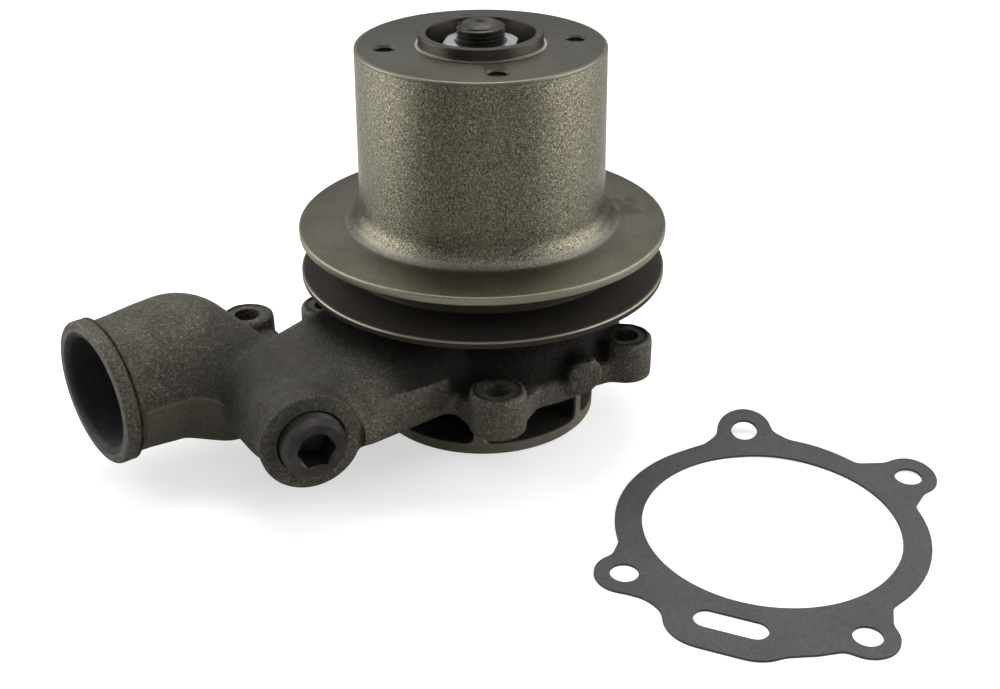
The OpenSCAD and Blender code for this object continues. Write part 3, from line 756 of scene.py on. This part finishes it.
plug_r, plug_stand, plug_hex = 10.7, 5.5, 11.1
plug_steel = metal("plug_steel", (0.045, 0.041, 0.038), (0.020, 0.018, 0.018), 0.45, 0.0003, 1000, 0.7)
bm = turned([(0, -9), (9.6, -9)] + threaded_outline(9.75, plug_r, 1.8, -8.5, plug_stand - 1.4)
    + [(plug_r - 1.1, plug_stand - 0.5), (plug_r - 1.5, plug_stand), (0, plug_stand)], 96)
plug = make_piece("screwed_plug", bm, plug_steel)
socket = post(plug_hex / 2 / cos(pi / 6), -4, plug_stand + 1, 6)
socket.transform(Matrix.Rotation(radians(30), 4, "Z"))
lead_in = turned([(0, plug_stand - 0.7), (plug_hex / 2 + 0.1, plug_stand - 0.7),
    (plug_hex / 2 + 1.1, plug_stand + 0.3), (0, plug_stand + 0.3)], 64)
machine(plug, [make_piece("hex_socket", socket, plug_steel),
    make_piece("socket_lead_in", lead_in, plug_steel)])
plug.data.transform(Matrix.Scale(mm, 4) @ along_boss @ Matrix.Scale(1 / mm, 4))
smooth_faces(plug, 30)
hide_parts("pipe_plug")
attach(plug, "housing")

# ---- Impeller ----
# Iron casting pressed on the spindle: a round plate with six curved vanes. Its rim and the vanes' tips were
# turned to size and show paler.

impeller_r, impeller_low, plate_t = 39.9, -22.7, 4.1
vane_top, vane_t, vane_count, first_vane = 4.2, 3.6, 6, -72.5
vane_bend = 20
vane_centre = Vector((27, -15.4, 0))

impeller_iron, tree = new_material("impeller_iron")
radius, height = turned_place(tree)
sand = add_node(tree, "ShaderNodeGroup", {"Grain": 1200.0, "Density": 0.4}, node_tree=grit).outputs
dirt = add_node(tree, "ShaderNodeGroup", {"Size": 40.0}, node_tree=grime).outputs["Amount"]
tone = blend_colours(tree, dirt, (0.035, 0.031, 0.028), (0.018, 0.016, 0.015))
tone = layered(tree, tone, (sand["Pits"], 0.5, (0.02, 0.018, 0.017)))
turned_edge = between(tree, radius, impeller_r - 0.6, impeller_r - 0.15)
worn = times(tree, turned_edge, between(tree, dirt, 0, 1, 1.0, 0.6))
tone = blend_colours(tree, worn, tone, (0.16, 0.14, 0.105))
bump = add_node(tree, "ShaderNodeBump", {"Height": sand["Height"], "Strength": 0.5, "Distance": 0.0005})
shade(tree, base_color=tone, metallic=0.4, roughness=0.55, normal=bump.outputs["Normal"])

bm = turned([(0, impeller_low), (impeller_r + 1.2, impeller_low), (impeller_r + 1.2, impeller_low + plate_t),
    (16, impeller_low + plate_t + 2), (15.6, impeller_low + plate_t + 4), (15.6, 2.5), (0, 2.5)], 96)
for vane in range(vane_count):
    inner = arc(vane_centre.xy, vane_bend - vane_t / 2, 48, 152, 15)
    outer = arc(vane_centre.xy, vane_bend + vane_t / 2, 152, 48, 15)
    add_solid(bm, plate(inner + outer, impeller_low + 2, vane_top),
        Matrix.Rotation(radians(first_vane + 360 / vane_count * vane), 4, "Z"))
impeller = make_piece("vaned_impeller", bm, impeller_iron)
cast(impeller, grain=0.9, rounding=6)
trim = turned([(0, impeller_low), (impeller_r - 0.5, impeller_low), (impeller_r, impeller_low + 0.5),
    (impeller_r, vane_top), (0, vane_top)], 128)
machine(impeller, [make_piece("turned_rim", trim, impeller_iron)], "INTERSECT")
bores = [post(thread_r + 0.02, impeller_low - 1, 8, 96)]
for angle in (20, 200):
    pull_off_hole = post(3, impeller_low - 1, impeller_low + 8, 32)
    bores.append(placed(pull_off_hole, Matrix.Translation(polar((25, angle)))))
machine(impeller, [make_piece(f"impeller_bore_{i}", solid, machined_iron) for i, solid in enumerate(bores)])
smooth_faces(impeller, 40)
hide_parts("impeller")
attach(impeller, "rotor")

# ---- Joint gasket ----
# Stamped from dark fibre paper to the shape of the mounting face. It lies flat, with one lug curled up.

gasket_t = 0.8
gasket_centre = Vector((18.6, -123.2, impeller_low))
gasket_hole_r = 41.2
gasket_turn = 113.2
curl_way = polar((1, -75))
curl_start, curl_end, curl_rise = 38, 65.8, 7.2

gasket_fibre, tree = new_material("gasket_fibre")
place = object_place(tree)
fibres = noise(tree, place, 900, 6, 0.7, 1.5)
cloud = noise(tree, place, 60, 4)
tone = blend_colours(tree, between(tree, fibres, 0.3, 0.7), (0.036, 0.033, 0.033), (0.078, 0.072, 0.071))
tone = blend_colours(tree, between(tree, cloud, 0.35, 0.7, 0, 0.4), tone, (0.034, 0.031, 0.031))
bump = add_node(tree, "ShaderNodeBump", {"Height": fibres, "Strength": 0.5, "Distance": 0.0003})
shade(tree, base_color=tone, roughness=0.72, normal=bump.outputs["Normal"])

stack_h = 12
bm = bmesh.new()
add_face_outline(bm, -stack_h / 2, stack_h / 2)
gasket = make_piece("paper_gasket", bm, gasket_fibre)
cast(gasket, grain=1.0, rounding=14)
sheet_cut = block((-90, -90, 0), (90, 90, gasket_t))
machine(gasket, [make_piece("sheet_thickness", sheet_cut, gasket_fibre)], "INTERSECT")
punches = [post(gasket_hole_r, -1, 2, 192), slot_shape(slot_width / 2, -1, 2)]
for lug in lugs:
    punches.append(placed(post(bolt_hole_r, -1, 2, 48), Matrix.Translation(polar(lug))))
machine(gasket, [make_piece(f"punch_{i}", solid, gasket_fibre) for i, solid in enumerate(punches)])
bm = bmesh.new()
bm.from_mesh(gasket.data)
bmesh.ops.scale(bm, vec=(1 / mm, 1 / mm, 1 / mm), verts=bm.verts)
bmesh.ops.dissolve_limit(bm, angle_limit=radians(1), verts=bm.verts, edges=bm.edges)
for reach in range(curl_start, round(curl_end)):
    bmesh.ops.bisect_plane(bm, geom=bm.verts[:] + bm.edges[:] + bm.faces[:], plane_co=curl_way * reach,
        plane_no=curl_way)
bmesh.ops.triangulate(bm, faces=bm.faces)
for vert in bm.verts:
    beyond = max(0, vert.co.dot(curl_way) - curl_start) / (curl_end - curl_start)
    vert.co.z += curl_rise * beyond ** 1.5
bm.transform(Matrix.Translation(gasket_centre) @ Matrix.Rotation(radians(gasket_turn), 4, "Z"))
bpy.data.objects.remove(gasket)
gasket = make_piece("paper_gasket", bm, gasket_fibre)
smooth_faces(gasket, 30)
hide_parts("joint_gasket")
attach(gasket, "gasket")

# ---- Parts inside the housing ----
# Two ball bearings with their spacer and circlip, the felt grease seal, the slinger, and the carbon face
# seal that runs on a ceramic seat. They keep their frame shapes and get their finishes here.

bearing_steel = metal("bearing_steel", (0.62, 0.63, 0.64), (0.50, 0.51, 0.52), 0.22, 0.0001)
ball_steel = metal("ball_steel", (0.76, 0.77, 0.78), (0.70, 0.71, 0.72), 0.10, 0.00005)
cage_brass = metal("cage_brass", (0.58, 0.42, 0.17), (0.45, 0.32, 0.13), 0.32)
spring_steel = metal("spring_steel", (0.30, 0.30, 0.31), (0.2, 0.2, 0.205), 0.35)
black_rubber = metal("black_rubber", (0.022, 0.022, 0.023), (0.035, 0.034, 0.034), 0.62, 0.0003, 700, 0.0)
carbon_black = metal("carbon_black", (0.03, 0.03, 0.032), (0.02, 0.02, 0.021), 0.35, 0.0001, 900, 0.0)
white_ceramic = metal("white_ceramic", (0.78, 0.75, 0.68), (0.72, 0.69, 0.62), 0.25, 0.0001, 500, 0.0)
grey_felt = metal("grey_felt", (0.17, 0.155, 0.13), (0.11, 0.10, 0.085), 0.9, 0.0012, 1200, 0.0)
pressed_steel = metal("pressed_steel", (0.33, 0.32, 0.29), (0.22, 0.21, 0.19), 0.4)
inside_finishes = {
    bearing_steel: ("rear_bearing_outer", "front_bearing_outer",
        "rear_bearing_inner", "front_bearing_inner"),
    ball_steel: ("rear_bearing_balls", "front_bearing_balls"),
    cage_brass: ("rear_bearing_cage", "front_bearing_cage", "seal_case"),
    spring_steel: ("bearing_circlip", "seal_spring"),
    black_rubber: ("seal_bellows", "seat_cup"),
    carbon_black: ("seal_carbon_ring",),
    white_ceramic: ("seal_seat",),
    grey_felt: ("felt_seal",),
    pressed_steel: ("felt_retainer", "water_slinger", "bearing_spacer", "pulley_key", "pulley_washer"),
}
for finish, names in inside_finishes.items():
    for name in names:
        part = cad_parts[name]
        part.data.materials.clear()
        part.data.materials.append(finish)
